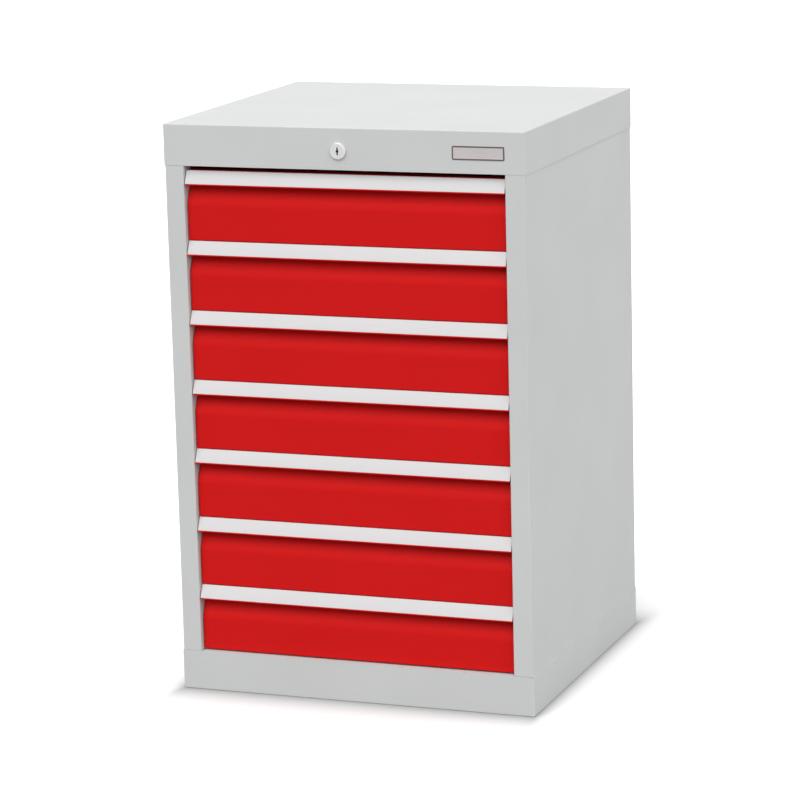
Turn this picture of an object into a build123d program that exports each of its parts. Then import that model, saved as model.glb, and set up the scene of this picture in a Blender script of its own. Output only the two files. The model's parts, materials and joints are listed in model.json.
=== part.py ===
from build123d import *
import math
import os

# Reagent drawer cabinet: a free-standing sheet-steel cabinet with seven equal drawers on
# telescopic runners, and one key lock in the fascia that locks all the drawers at the rear.
# Millimetres. Origin: centre of the footprint (lock included) on the floor. -Y is the front,
# +X is the right-hand side seen from the front, +Z is up.
# "Recess" is the distance behind the plane of the fascia and stiles.

# ---------------------------------------------------------------- overall
WIDTH = 533.0                # over the skirts of the cap and the base
DEPTH = 500.0                # fascia face to the rear skirt
DRAWERS = 7
PITCH = 100.0                # drawer to drawer
BASE_HEIGHT = 57.5           # skirt of the base tray
CAP_HEIGHT = 58.8            # skirt of the top cap, whose front is the fascia
LEVEL_TUCK = 2.6             # the drawer grid starts this far below the ledge of the base
TOP_SLOT = 7.1               # open slot between the top drawer and the fascia

# ---------------------------------------------------------------- carcass sheet
SKIRT_SHEET = 1.2
SKIN_SHEET = 1.2
REAR_SHEET = 1.2
SKIRT_PLAY = 0.1             # between a skirt and the panel inside it
CORNER_RADIUS = 2.0          # outside bend radius of upright corners
TOP_RADIUS = 1.6             # outside bend radius of the cap's and the base's flat edges
STILE_WIDTH = 29.35          # outer face of the skirt to the drawer opening
STILE_RETURN = 25.0          # depth of the stile's fold beside the opening
RETURN_BEND = 1.5            # bend radius of that fold
STILE_JOINT = 0.3            # hairline between a stile and the fascia or the base
LEDGE_DEPTH = 22.0           # folded ledge along the top of the base and under the fascia
REAR_FLANGE = 20.0

# ---------------------------------------------------------------- slotted uprights
UPRIGHT_SHEET = 1.5
UPRIGHT_DEPTH = 40.0
UPRIGHT_GAP = 2.0            # stile's fold to the front upright
SLOTS_PER_DRAWER = 4         # slots of the uprights in one drawer pitch
SLOT_HEIGHT = 10.0
SLOT_WIDTH = 3.0

# ---------------------------------------------------------------- telescopic runners
RUNNER_REAR_ROOM = 17.5      # rear ends of the runners to the rear panel
RUNNER_HEIGHT = 45.0
RUNNER_WIDTH = 12.7
RUNNER_SHEET = 1.2
RUNNER_PLAY = 0.6            # between two sliding members
RUNNER_GAP = 1.0             # drawer front's tabs to the runners' front ends
RUNNER_RISE = 34.0           # centre of the runner above the drawer's floor
CASE_REACH = 9.5             # how far the case member's flanges come out of the upright
LIP = 2.0                    # hooked edge of a member
DRAWER_MEMBER_HEIGHT = 32.0
MIDDLE_SHORT = 20.0          # the middle member is this much shorter than the case member
HOOK_DROP = 3.0              # hooks of the case member behind the upright's slots
HOOK_PLAY = 0.3              # each side of a hook in its slot

# ---------------------------------------------------------------- drawers
FRONT_SHEET = 1.0
BOX_SHEET = 1.0
FRONT_SIDE_GAP = 1.15        # drawer front to stile
FRONT_GAP = 0.5              # drawer front to the drawer below
LEDGE_GAP = 2.0              # lowest drawer front to the base
PANEL_RECESS = 7.4           # face of the red panel
WEB_RECESS = 20.0            # back of the finger room behind the handle strip
FINGER_SLOPE = 26.8          # height over which the panel leans back to the web
PANEL_BEND = 30.0            # bend radius between the panel and its slope
WEB_BEND = 4.0
RETURN_LIP = 18.0            # folded lower edge of the panel
LIP_BEND = 1.5
FOLD_FOOT = 2.0              # side flanges and tabs above the panel's lower edge
TAB_WIDTH = 30.0             # tabs that join the panel to the box
FLANGE_LAP = 7.0             # top flange over the box behind its front wall's face
BOX_FRONT = 29.0             # recess of the box's front wall
BOX_REAR_ROOM = 42.5         # box to rear panel, for the lugs and the locking bar
BOX_LIFT = 7.1               # box's floor above the top flange of the drawer below
BOX_HEADROOM = 17.9          # box's side walls below its own drawer front's top flange

# ---------------------------------------------------------------- handle strip
STRIP_HEIGHT = 18.6
STRIP_LEAN = 8.0             # its top edge is this far behind its lower edge
STRIP_SHEET = 1.2
STRIP_EDGE = 0.3             # rounding of its outer edges
GRIP_HEM = 1.8               # height of the drawer front's red hem below the strip
HEM_NOSE = 0.5               # rounding of the hem's lower edge

# ---------------------------------------------------------------- lock and badge
LOCK_X = -4.0
LOCK_RISE = 26.5             # lock's axis above the fascia's lower edge
BEZEL_RADIUS = 12.0
BEZEL_PROUD = 3.5
BEZEL_EDGE = 0.7
BARREL_RADIUS = 9.4
BARREL_LENGTH = 20.0         # behind the fascia's outer face
FIT_PLAY = 0.05              # radial play of turning and screwed pieces
FASCIA_HOLE_PLAY = 0.2
NUT_ACROSS_FLATS = 24.0
NUT_THICKNESS = 4.0
PLUG_RADIUS = 6.6
PLUG_SUNK = 0.3              # plug face below the bezel's face
KEY_SLOT_HEIGHT = 10.5
KEY_SLOT_WIDTH = 2.0
KEY_SLOT_DEPTH = 14.0
KEY_PILOT_RADIUS = 2.1
KEY_PILOT_DEPTH = 1.5
TANG_SIDE = 6.0              # square tail of the plug in the shaft's socket
TANG_LENGTH = 8.0
SHAFT_RADIUS = 4.0
SOCKET_RADIUS = 7.0
SOCKET_LENGTH = 12.0
BADGE_RISE = 28.3            # middle of the name plate above that edge
BADGE_WIDTH = 75.0
BADGE_HEIGHT = 19.0
BADGE_SHEET = 0.8
BADGE_CORNER = 2.0
BADGE_EDGE = 0.25

# ---------------------------------------------------------------- locking bar at the rear
CRANK_RADIUS = 9.0           # shaft axis to crank pin
CRANK_SWING = 90.0           # key turn in degrees, half of it each side of level
CRANK_THICKNESS = 4.0
CRANK_WEB = 7.0              # half width of the crank's arm
CRANK_PIN_RADIUS = 2.5
PIN_PROUD = 1.0              # crank pin behind the bar
PIN_PLAY = 0.5               # crank pin in the bar's slot
BAR_WIDTH = 26.0
BAR_SHEET = 3.0
BAR_STANDOFF = 6.5           # bar to rear panel
BAR_HEAD = 10.0              # bar above the crank pin's slot
BAR_TAIL = 16.0              # bar below the lowest catch
CATCH_WIDTH = 16.0
CATCH_SHEET = 2.0
CATCH_CLEAR = 2.5            # lug to open catch
CATCH_PLAY = 1.0             # lug to closed catch, front to back
HOOK_ROOM = 1.8              # tip of a closed catch to the lug's bend above it
LUG_WIDTH = 34.0
LUG_TO_BAR = 12.0            # rear face of a lug to the bar
GUIDE_HEIGHT = 18.0
GUIDE_SHEET = 1.5
GUIDE_PLAY = 0.3
GUIDE_FOOT = 9.0
GUIDES = 3
BRACKET_SHEET = 3.0
BRACKET_WIDTH = 40.0
BRACKET_FOOT = 18.0
BRACKET_DROP = 12.0          # bracket below the shaft axis
BUSH_WALL = 2.0
BUSH_FLANGE = 1.5
BUSH_FLANGE_RADIUS = 8.0
CRANK_GAP = 0.5              # bush flange to crank, and crank to bar

# ---------------------------------------------------------------- rear rivets
RIVETS_PER_SIDE = 5
RIVET_HEAD_RADIUS = 3.5
RIVET_HEAD = 1.0
RIVET_ROUND = 0.6            # rounding of a rivet's head
RIVET_SHANK_RADIUS = 2.0
RIVET_GRIP = 1.5             # shank behind the flange
RIVET_END_MARGIN = 60.0      # outermost rivets to the skirts

CUT = 1.0                    # how far a hole's or a cut's solid runs past the sheet

# ---------------------------------------------------------------- worked out from the above
FRONT_Y = -(DEPTH - BEZEL_PROUD) / 2
REAR_Y = FRONT_Y + DEPTH
HALF = WIDTH / 2
RUNNER_SETBACK = BOX_FRONT + RUNNER_GAP
OPEN_HALF = HALF - STILE_WIDTH
SLOT_PITCH = PITCH / SLOTS_PER_DRAWER
UPRIGHT_SETBACK = STILE_RETURN + UPRIGHT_GAP
BOX_FLOOR = PITCH - BOX_LIFT          # below the drawer front's top flange
BOX_HEIGHT = BOX_FLOOR - BOX_HEADROOM
SKIN_OUT = HALF - SKIRT_SHEET - SKIRT_PLAY
SKIN_IN = SKIN_OUT - SKIN_SHEET
CAP_BOTTOM = BASE_HEIGHT + DRAWERS * PITCH - LEVEL_TUCK + TOP_SLOT
HEIGHT = CAP_BOTTOM + CAP_HEIGHT
INNER_BOTTOM = SKIRT_SHEET
INNER_TOP = HEIGHT - SKIRT_SHEET
PANEL_BOTTOM = max(TOP_RADIUS, SKIRT_SHEET)
PANEL_TOP = HEIGHT - PANEL_BOTTOM
REAR_OUT = REAR_Y - SKIRT_SHEET - SKIRT_PLAY
REAR_IN = REAR_OUT - REAR_SHEET
LOCK_Z = CAP_BOTTOM + LOCK_RISE
BADGE_Z = CAP_BOTTOM + BADGE_RISE
FRONT_HALF = OPEN_HALF - FRONT_SIDE_GAP
BOX_HALF = OPEN_HALF - RUNNER_WIDTH
BAR_TRAVEL = 2 * CRANK_RADIUS * math.sin(math.radians(CRANK_SWING / 2))
BAR_BACK = REAR_IN - BAR_STANDOFF
BAR_FRONT = BAR_BACK - BAR_SHEET
PIN_NEAR = CRANK_RADIUS * math.cos(math.radians(CRANK_SWING / 2))
BAR_X = LOCK_X + (PIN_NEAR + CRANK_RADIUS) / 2
CRANK_BACK = BAR_FRONT - CRANK_GAP
CRANK_FRONT = CRANK_BACK - CRANK_THICKNESS
RUNNER_LENGTH = REAR_IN - RUNNER_REAR_ROOM - FRONT_Y - RUNNER_SETBACK
REAR_UPRIGHT_SETBACK = RUNNER_SETBACK + RUNNER_LENGTH - UPRIGHT_DEPTH
BOX_BACK = REAR_IN - BOX_REAR_ROOM
BOX_DEPTH = BOX_BACK - FRONT_Y - BOX_FRONT
LUG_BACK = BAR_FRONT - LUG_TO_BAR
CATCH_HOOK = BAR_TRAVEL - CATCH_CLEAR + HOOK_ROOM   # hook height of a catch and of a lug


def depth(recess):
    """Y of a point this far behind the front plane."""
    return FRONT_Y + recess


def level(number):
    """Z of the top flange of drawer 1 (lowest) to 7."""
    return BASE_HEIGHT + number * PITCH - LEVEL_TUCK


def runner_z(number):
    return level(number) - BOX_FLOOR + RUNNER_RISE


def block(x0, x1, y0, y1, z0, z1):
    size = Box(x1 - x0, y1 - y0, z1 - z0)
    return Pos((x0 + x1) / 2, (y0 + y1) / 2, (z0 + z1) / 2) * size


def rod(radius, x, z, y0, y1):
    """Round bar along Y."""
    return Pos(x, (y0 + y1) / 2, z) * Rot(90, 0, 0) * Cylinder(radius, y1 - y0)


def mirrored(shape):
    return mirror(shape, about=Plane.YZ)


def along_x(outline, x0, x1):
    """Prism from corner points (y, z), between two values of x."""
    face = Plane.YZ.offset(x0) * make_face(Polyline(*outline, close=True))
    return extrude(face, x1 - x0, dir=(1, 0, 0))


def together(pieces):
    return Compound(children=list(pieces))


# ---------------------------------------------------------------- carcass
def tray(height, flat_at_top):
    """Five-sided sheet tray with bent edges, open away from its flat side."""
    def shell(inset, radius_up, radius_flat):
        solid = Box(WIDTH - 2 * inset, DEPTH - 2 * inset, height)
        solid = fillet(solid.edges().filter_by(Axis.Z), radius_up)
        flat = solid.faces().sort_by(Axis.Z)[-1 if flat_at_top else 0]
        return fillet(flat.edges(), radius_flat)

    outer = shell(0, CORNER_RADIUS, TOP_RADIUS)
    inner = shell(SKIRT_SHEET, CORNER_RADIUS - SKIRT_SHEET, TOP_RADIUS - SKIRT_SHEET)
    shift = -SKIRT_SHEET if flat_at_top else SKIRT_SHEET
    return outer - Pos(0, 0, shift) * inner


def top_cap():
    cap = Pos(0, (FRONT_Y + REAR_Y) / 2, CAP_BOTTOM + CAP_HEIGHT / 2) * tray(CAP_HEIGHT, True)
    cap += block(-OPEN_HALF, OPEN_HALF, depth(SKIRT_SHEET / 2), depth(LEDGE_DEPTH),
                 CAP_BOTTOM, CAP_BOTTOM + SKIRT_SHEET)
    hole = rod(BARREL_RADIUS + FASCIA_HOLE_PLAY, LOCK_X, LOCK_Z,
               depth(-CUT), depth(SKIRT_SHEET + CUT))
    return cap - hole


def base_tray():
    base = Pos(0, (FRONT_Y + REAR_Y) / 2, BASE_HEIGHT / 2) * tray(BASE_HEIGHT, False)
    base += block(-OPEN_HALF, OPEN_HALF, depth(SKIRT_SHEET / 2), depth(LEDGE_DEPTH),
                  BASE_HEIGHT - SKIRT_SHEET, BASE_HEIGHT)
    return base


def side_panel_right():
    """One folded sheet: rear flange, side, stile and the stile's return."""
    rear = REAR_IN
    corners = [
        (SKIN_OUT - REAR_FLANGE, rear),
        (SKIN_OUT, rear),
        (SKIN_OUT, FRONT_Y),
        (OPEN_HALF, FRONT_Y),
        (OPEN_HALF, depth(STILE_RETURN)),
    ]
    path = FilletPolyline(*corners, radius=[CORNER_RADIUS, CORNER_RADIUS, RETURN_BEND])
    band = make_face(offset(path, amount=SKIN_SHEET, side=Side.RIGHT, kind=Kind.INTERSECTION))
    panel = Pos(0, 0, PANEL_BOTTOM) * extrude(band, PANEL_TOP - PANEL_BOTTOM)
    clear = SKIRT_SHEET + SKIRT_PLAY + CORNER_RADIUS
    for z0, z1 in skirt_bands():
        panel -= block(OPEN_HALF - CUT, SKIN_IN, depth(-CUT), depth(STILE_RETURN + CUT), z0, z1)
        panel -= block(OPEN_HALF - CUT, SKIN_OUT + CUT, depth(-CUT), depth(clear), z0, z1)
    return panel - together(rivet_holes())


def skirt_bands():
    """Heights behind the skirts of the base and the cap, where the panels step back."""
    return (0, BASE_HEIGHT + STILE_JOINT), (CAP_BOTTOM - STILE_JOINT, HEIGHT)


def rear_panel():
    """Flat sheet, notched behind the skirts to clear the corners of the side panels."""
    panel = block(-SKIN_OUT, SKIN_OUT, REAR_IN, REAR_OUT, PANEL_BOTTOM, PANEL_TOP)
    panel = fillet(panel.edges().filter_by(Axis.Z).sort_by(Axis.Y)[-2:], REAR_SHEET / 2)
    for side in (-1, 1):
        for z0, z1 in skirt_bands():
            x_in, x_out = sorted((side * (SKIN_OUT - CORNER_RADIUS), side * (SKIN_OUT + CUT)))
            panel -= block(x_in, x_out, REAR_IN - CUT, REAR_OUT + CUT, z0, z1)
    holes = together(rivet_holes())
    return panel - holes - mirrored(holes)


def rivet_places():
    """(x, z) of the right-hand rivets, evenly spaced between the skirts."""
    low = BASE_HEIGHT + RIVET_END_MARGIN
    high = CAP_BOTTOM - RIVET_END_MARGIN
    x = SKIN_OUT - REAR_FLANGE / 2
    step = (high - low) / (RIVETS_PER_SIDE - 1)
    return [(x, low + step * i) for i in range(RIVETS_PER_SIDE)]


def rivet_holes():
    radius = RIVET_SHANK_RADIUS + FIT_PLAY
    return [rod(radius, x, z, REAR_IN - SKIN_SHEET - CUT, REAR_OUT + CUT)
            for x, z in rivet_places()]


def rear_rivets():
    rivets = []
    for x, z in rivet_places():
        shank = rod(RIVET_SHANK_RADIUS, x, z, REAR_IN - SKIN_SHEET - RIVET_GRIP, REAR_OUT)
        head = rod(RIVET_HEAD_RADIUS, x, z, REAR_OUT, REAR_OUT + RIVET_HEAD)
        rim = head.edges().filter_by(GeomType.CIRCLE).sort_by(Axis.Y)[-1]
        rivet = shank + fillet(rim, RIVET_ROUND)
        rivets += [rivet, mirrored(rivet)]
    return together(rivets)


def upright_slots():
    """Z of every slot: a pair for each runner's hooks, and the grid between them."""
    first = runner_z(1) - SLOT_PITCH / 2
    count = int((INNER_TOP - first) // SLOT_PITCH)
    return [first + SLOT_PITCH * i for i in range(count)]


def upright(recess):
    """Channel open towards the side panel, with a row of slots down its web."""
    y0 = depth(recess)
    y1 = y0 + UPRIGHT_DEPTH
    channel = block(OPEN_HALF, SKIN_IN, y0, y1, INNER_BOTTOM, INNER_TOP)
    hollow = block(OPEN_HALF + UPRIGHT_SHEET, SKIN_IN + CUT, y0 + UPRIGHT_SHEET,
                   y1 - UPRIGHT_SHEET, INNER_BOTTOM - CUT, INNER_TOP + CUT)
    middle = (y0 + y1) / 2
    slots = [block(OPEN_HALF - CUT, OPEN_HALF + UPRIGHT_SHEET + CUT,
                   middle - SLOT_WIDTH / 2, middle + SLOT_WIDTH / 2,
                   z - SLOT_HEIGHT / 2, z + SLOT_HEIGHT / 2) for z in upright_slots()]
    return channel - hollow - together(slots)


# ---------------------------------------------------------------- telescopic runners
# s is the distance from the upright's face towards the drawer.
def runner_bar(s0, s1, z0, z1, y0, length):
    return block(OPEN_HALF - s1, OPEN_HALF - s0, y0, y0 + length, z0, z1)


CASE_IN = RUNNER_HEIGHT / 2 - RUNNER_SHEET
MIDDLE_OUT = CASE_IN - RUNNER_PLAY
MIDDLE_IN = MIDDLE_OUT - RUNNER_SHEET
MIDDLE_WEB = RUNNER_SHEET + RUNNER_PLAY
MIDDLE_END = CASE_REACH - RUNNER_SHEET - RUNNER_PLAY
DRAWER_OUT = DRAWER_MEMBER_HEIGHT / 2
DRAWER_END = MIDDLE_WEB + RUNNER_SHEET + RUNNER_PLAY


def case_member(z):
    """Outer channel of a runner, with hooked edges and four hooks into the upright."""
    y0 = depth(RUNNER_SETBACK)
    long = RUNNER_LENGTH
    outer = RUNNER_HEIGHT / 2
    wide = SLOT_WIDTH - 2 * HOOK_PLAY
    member = runner_bar(0, RUNNER_SHEET, z - outer, z + outer, y0, long)
    for way in (-1, 1):
        low, high = sorted((z + way * CASE_IN, z + way * outer))
        member += runner_bar(0, CASE_REACH, low, high, y0, long)
        low, high = sorted((z + way * (CASE_IN - LIP), z + way * outer))
        member += runner_bar(CASE_REACH - RUNNER_SHEET, CASE_REACH, low, high, y0, long)
    for recess in (UPRIGHT_SETBACK, REAR_UPRIGHT_SETBACK):
        y_near = depth(recess) + UPRIGHT_DEPTH / 2 - wide / 2
        for slot in (z - SLOT_PITCH / 2, z + SLOT_PITCH / 2):
            foot = slot - SLOT_HEIGHT / 2
            member += runner_bar(-UPRIGHT_SHEET - RUNNER_SHEET, 0, foot, slot, y_near, wide)
            member += runner_bar(-UPRIGHT_SHEET - RUNNER_SHEET, -UPRIGHT_SHEET,
                                 foot - HOOK_DROP, slot, y_near, wide)
    return member


def middle_member(z):
    y0 = depth(RUNNER_SETBACK)
    long = RUNNER_LENGTH - MIDDLE_SHORT
    member = runner_bar(MIDDLE_WEB, MIDDLE_WEB + RUNNER_SHEET, z - MIDDLE_OUT, z + MIDDLE_OUT,
                        y0, long)
    for way in (-1, 1):
        low, high = sorted((z + way * MIDDLE_IN, z + way * MIDDLE_OUT))
        member += runner_bar(MIDDLE_WEB, MIDDLE_END, low, high, y0, long)
        low, high = sorted((z + way * (DRAWER_OUT + RUNNER_PLAY), z + way * MIDDLE_OUT))
        member += runner_bar(MIDDLE_END - RUNNER_SHEET, MIDDLE_END, low, high, y0, long)
    return member


def drawer_member(z):
    """Inner channel, open towards the upright, its back on the drawer box."""
    y0 = depth(BOX_FRONT)
    long = BOX_DEPTH
    member = runner_bar(RUNNER_WIDTH - RUNNER_SHEET, RUNNER_WIDTH, z - DRAWER_OUT,
                        z + DRAWER_OUT, y0, long)
    for way in (-1, 1):
        low, high = sorted((z + way * (DRAWER_OUT - RUNNER_SHEET), z + way * DRAWER_OUT))
        member += runner_bar(DRAWER_END, RUNNER_WIDTH, low, high, y0, long)
        low, high = sorted((z + way * (DRAWER_OUT - RUNNER_SHEET),
                            z + way * (MIDDLE_IN - RUNNER_PLAY)))
        member += runner_bar(DRAWER_END, DRAWER_END + RUNNER_SHEET, low, high, y0, long)
    return member


def pair(member, number):
    right = member(runner_z(number))
    return together([right, mirrored(right)])


# ---------------------------------------------------------------- drawers
def front_bottom(number):
    if number == 1:
        return BASE_HEIGHT + LEDGE_GAP
    return level(number - 1) + FRONT_GAP


def strip_recess(drop):
    """Recess of the strip's outer face, this far below its top edge."""
    return STRIP_LEAN * (1 - drop / STRIP_HEIGHT)


STRIP_ANGLE = math.atan2(STRIP_LEAN, STRIP_HEIGHT)
STRIP_ACROSS = STRIP_SHEET / math.cos(STRIP_ANGLE)   # the strip measured front to back
GRIP_ACROSS = FRONT_SHEET / math.cos(STRIP_ANGLE)    # the sheet behind it, front to back


def behind_strip(drop):
    return strip_recess(drop) + STRIP_ACROSS


def grip_fold(number):
    """The drawer front's sheet behind the strip, and its hem folded forward under the strip."""
    top = level(number)
    low = top - STRIP_HEIGHT
    foot = low - GRIP_HEM
    fold = along_x([
        (depth(behind_strip(0)), top),
        (depth(behind_strip(STRIP_HEIGHT)), low),
        (depth(strip_recess(STRIP_HEIGHT)), low),
        (depth(strip_recess(STRIP_HEIGHT)), foot),
        (depth(behind_strip(STRIP_HEIGHT + GRIP_HEM) + GRIP_ACROSS), foot),
        (depth(behind_strip(0) + GRIP_ACROSS), top),
    ], -FRONT_HALF, FRONT_HALF)
    front = fold.edges().filter_by(Axis.X).group_by(Axis.Y)[0]
    return fillet(front.sort_by(Axis.Z)[0], HEM_NOSE)


def drawer_front(number):
    """Red folded sheet: lip, panel, slope, web, top flange, grip, side flanges and tabs."""
    top = level(number)
    low = front_bottom(number)
    strip_low = top - STRIP_HEIGHT
    corners = [
        (depth(PANEL_RECESS + RETURN_LIP), low),
        (depth(PANEL_RECESS), low),
        (depth(PANEL_RECESS), strip_low - FINGER_SLOPE),
        (depth(WEB_RECESS), strip_low),
        (depth(WEB_RECESS), top - FRONT_SHEET / 2),
    ]
    path = FilletPolyline(*corners, radius=[LIP_BEND, PANEL_BEND, WEB_BEND])
    band = make_face(offset(path, amount=FRONT_SHEET, side=Side.RIGHT, kind=Kind.INTERSECTION))
    face = Plane.YZ.offset(-FRONT_HALF) * band
    sheet = extrude(face, 2 * FRONT_HALF, dir=(1, 0, 0))
    sheet += block(-FRONT_HALF, FRONT_HALF, depth(behind_strip(0)),
                   depth(BOX_FRONT + FLANGE_LAP), top - FRONT_SHEET, top)
    sheet += grip_fold(number)
    inside = FRONT_SHEET / 2
    for side in (-1, 1):
        x_in, x_out = sorted((side * FRONT_HALF, side * (FRONT_HALF - FRONT_SHEET)))
        sheet += along_x([
            (depth(PANEL_RECESS + inside), low + FOLD_FOOT),
            (depth(PANEL_RECESS + inside), strip_low - FINGER_SLOPE),
            (depth(WEB_RECESS + inside), strip_low),
            (depth(WEB_RECESS + inside), top - inside),
            (depth(BOX_FRONT), top - inside),
            (depth(BOX_FRONT), low + FOLD_FOOT),
        ], x_in, x_out)
        x_in, x_out = sorted((side * FRONT_HALF, side * (FRONT_HALF - TAB_WIDTH)))
        sheet += block(x_in, x_out, depth(BOX_FRONT - FRONT_SHEET), depth(BOX_FRONT),
                       low + FOLD_FOOT, top - inside)
    return sheet


def handle_strip(number):
    """Pale leaning strip on the grip, its lower edge on the hem."""
    top = level(number)
    low = top - STRIP_HEIGHT
    strip = along_x([
        (depth(strip_recess(0)), top),
        (depth(strip_recess(STRIP_HEIGHT)), low),
        (depth(behind_strip(STRIP_HEIGHT)), low),
        (depth(behind_strip(0)), top),
    ], -FRONT_HALF, FRONT_HALF)
    outer = strip.faces().sort_by(Axis.Y)[0].edges().filter_by(Axis.X)
    return fillet(outer, STRIP_EDGE)


def drawer_box(number):
    """Open box, its taller front wall under the top flange, its lug folded off the rear."""
    top = level(number)
    floor = top - BOX_FLOOR
    y0 = depth(BOX_FRONT)
    wall = BOX_SHEET
    box = block(-BOX_HALF, BOX_HALF, y0, BOX_BACK, floor, floor + BOX_HEIGHT)
    box -= block(-BOX_HALF + wall, BOX_HALF - wall, y0 + wall, BOX_BACK - wall,
                 floor + wall, floor + BOX_HEIGHT + CUT)
    box += block(-BOX_HALF, BOX_HALF, y0, y0 + wall, floor, top - FRONT_SHEET)
    lug_top = floor + BOX_HEIGHT
    x0, x1 = BAR_X - LUG_WIDTH / 2, BAR_X + LUG_WIDTH / 2
    box += block(x0, x1, BOX_BACK - wall, LUG_BACK, lug_top - CATCH_SHEET, lug_top)
    box += block(x0, x1, LUG_BACK - CATCH_SHEET, LUG_BACK,
                 lug_top - CATCH_SHEET - CATCH_HOOK, lug_top)
    return box


# ---------------------------------------------------------------- fascia pieces
def badge_plate():
    right = OPEN_HALF
    plate = block(right - BADGE_WIDTH, right, FRONT_Y - BADGE_SHEET, FRONT_Y,
                  BADGE_Z - BADGE_HEIGHT / 2, BADGE_Z + BADGE_HEIGHT / 2)
    plate = fillet(plate.edges().filter_by(Axis.Y), BADGE_CORNER)
    rim = plate.faces().sort_by(Axis.Y)[0].edges()
    return fillet(rim, BADGE_EDGE)


def lock_housing():
    """Round bezel and threaded barrel, bored for the plug."""
    bezel = rod(BEZEL_RADIUS, LOCK_X, LOCK_Z, depth(-BEZEL_PROUD), FRONT_Y)
    rim = bezel.edges().filter_by(GeomType.CIRCLE).sort_by(Axis.Y)[0]
    bezel = fillet(rim, BEZEL_EDGE)
    barrel = rod(BARREL_RADIUS, LOCK_X, LOCK_Z, FRONT_Y, depth(BARREL_LENGTH))
    bore = rod(PLUG_RADIUS + FIT_PLAY, LOCK_X, LOCK_Z,
               depth(-BEZEL_PROUD - CUT), depth(BARREL_LENGTH + CUT))
    return bezel + barrel - bore


def lock_plug():
    """Turning plug with its key slot and the square tang behind."""
    face = depth(-BEZEL_PROUD + PLUG_SUNK)
    plug = rod(PLUG_RADIUS, LOCK_X, LOCK_Z, face, depth(BARREL_LENGTH))
    half = TANG_SIDE / 2
    plug += block(LOCK_X - half, LOCK_X + half, depth(BARREL_LENGTH),
                  depth(BARREL_LENGTH + TANG_LENGTH), LOCK_Z - half, LOCK_Z + half)
    plug -= block(LOCK_X - KEY_SLOT_WIDTH / 2, LOCK_X + KEY_SLOT_WIDTH / 2, face - CUT,
                  face + KEY_SLOT_DEPTH, LOCK_Z - KEY_SLOT_HEIGHT / 2,
                  LOCK_Z + KEY_SLOT_HEIGHT / 2)
    return plug - rod(KEY_PILOT_RADIUS, LOCK_X, LOCK_Z, face - CUT, face + KEY_PILOT_DEPTH)


def lock_nut():
    y0 = depth(SKIRT_SHEET)
    outline = RegularPolygon(NUT_ACROSS_FLATS / 2, 6, major_radius=False)
    nut = extrude(Plane.XZ * outline, -NUT_THICKNESS)
    nut = Pos(LOCK_X, y0, LOCK_Z) * nut
    bore = rod(BARREL_RADIUS + FIT_PLAY, LOCK_X, LOCK_Z, y0 - CUT, y0 + NUT_THICKNESS + CUT)
    return nut - bore


# ---------------------------------------------------------------- locking drive
BUSH_BACK = CRANK_FRONT - CRANK_GAP
BRACKET_BACK = BUSH_BACK - BUSH_FLANGE
BRACKET_FRONT = BRACKET_BACK - BRACKET_SHEET
BUSH_RADIUS = SHAFT_RADIUS + FIT_PLAY + BUSH_WALL


def lock_shaft():
    """Rod from the plug to the crank, with a square socket at the plug's end."""
    y0 = depth(BARREL_LENGTH)
    half = TANG_SIDE / 2
    shaft = rod(SOCKET_RADIUS, LOCK_X, LOCK_Z, y0, y0 + SOCKET_LENGTH)
    shaft += rod(SHAFT_RADIUS, LOCK_X, LOCK_Z, y0, CRANK_BACK)
    return shaft - block(LOCK_X - half, LOCK_X + half, y0 - CUT, y0 + TANG_LENGTH,
                         LOCK_Z - half, LOCK_Z + half)


def pin_centre():
    """(x, z) of the crank pin with the drawers unlocked, below the shaft's axis."""
    return LOCK_X + PIN_NEAR, LOCK_Z - BAR_TRAVEL / 2


def lock_crank():
    """Arm on the shaft's end with a pin through the bar's slot."""
    pin_x, pin_z = pin_centre()
    arm = extrude(Plane.XZ * SlotCenterToCenter(CRANK_RADIUS, 2 * CRANK_WEB), -CRANK_THICKNESS)
    arm = Rot(0, CRANK_SWING / 2, 0) * Pos(CRANK_RADIUS / 2, 0, 0) * arm
    arm = Pos(LOCK_X, CRANK_FRONT, LOCK_Z) * arm
    arm -= rod(SHAFT_RADIUS + FIT_PLAY, LOCK_X, LOCK_Z, CRANK_FRONT - CUT, CRANK_BACK + CUT)
    return arm + rod(CRANK_PIN_RADIUS, pin_x, pin_z, CRANK_FRONT, BAR_BACK + PIN_PROUD)


def lug_low(number):
    return level(number) - BOX_FLOOR + BOX_HEIGHT - CATCH_SHEET - CATCH_HOOK


def bar_top():
    return pin_centre()[1] + CRANK_PIN_RADIUS + PIN_PLAY + BAR_HEAD


def bar_bottom():
    return lug_low(1) - CATCH_CLEAR - CATCH_HOOK - CATCH_SHEET - BAR_TAIL


def lock_bar():
    """Upright bar with a slot for the crank pin."""
    bar = block(BAR_X - BAR_WIDTH / 2, BAR_X + BAR_WIDTH / 2, BAR_FRONT, BAR_BACK,
                bar_bottom(), bar_top())
    tall = 2 * (CRANK_PIN_RADIUS + PIN_PLAY)
    reach = CRANK_RADIUS - PIN_NEAR
    slot = extrude(Plane.XZ * SlotCenterToCenter(reach, tall), BAR_SHEET, both=True)
    return bar - Pos(BAR_X, (BAR_FRONT + BAR_BACK) / 2, pin_centre()[1]) * slot


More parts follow.
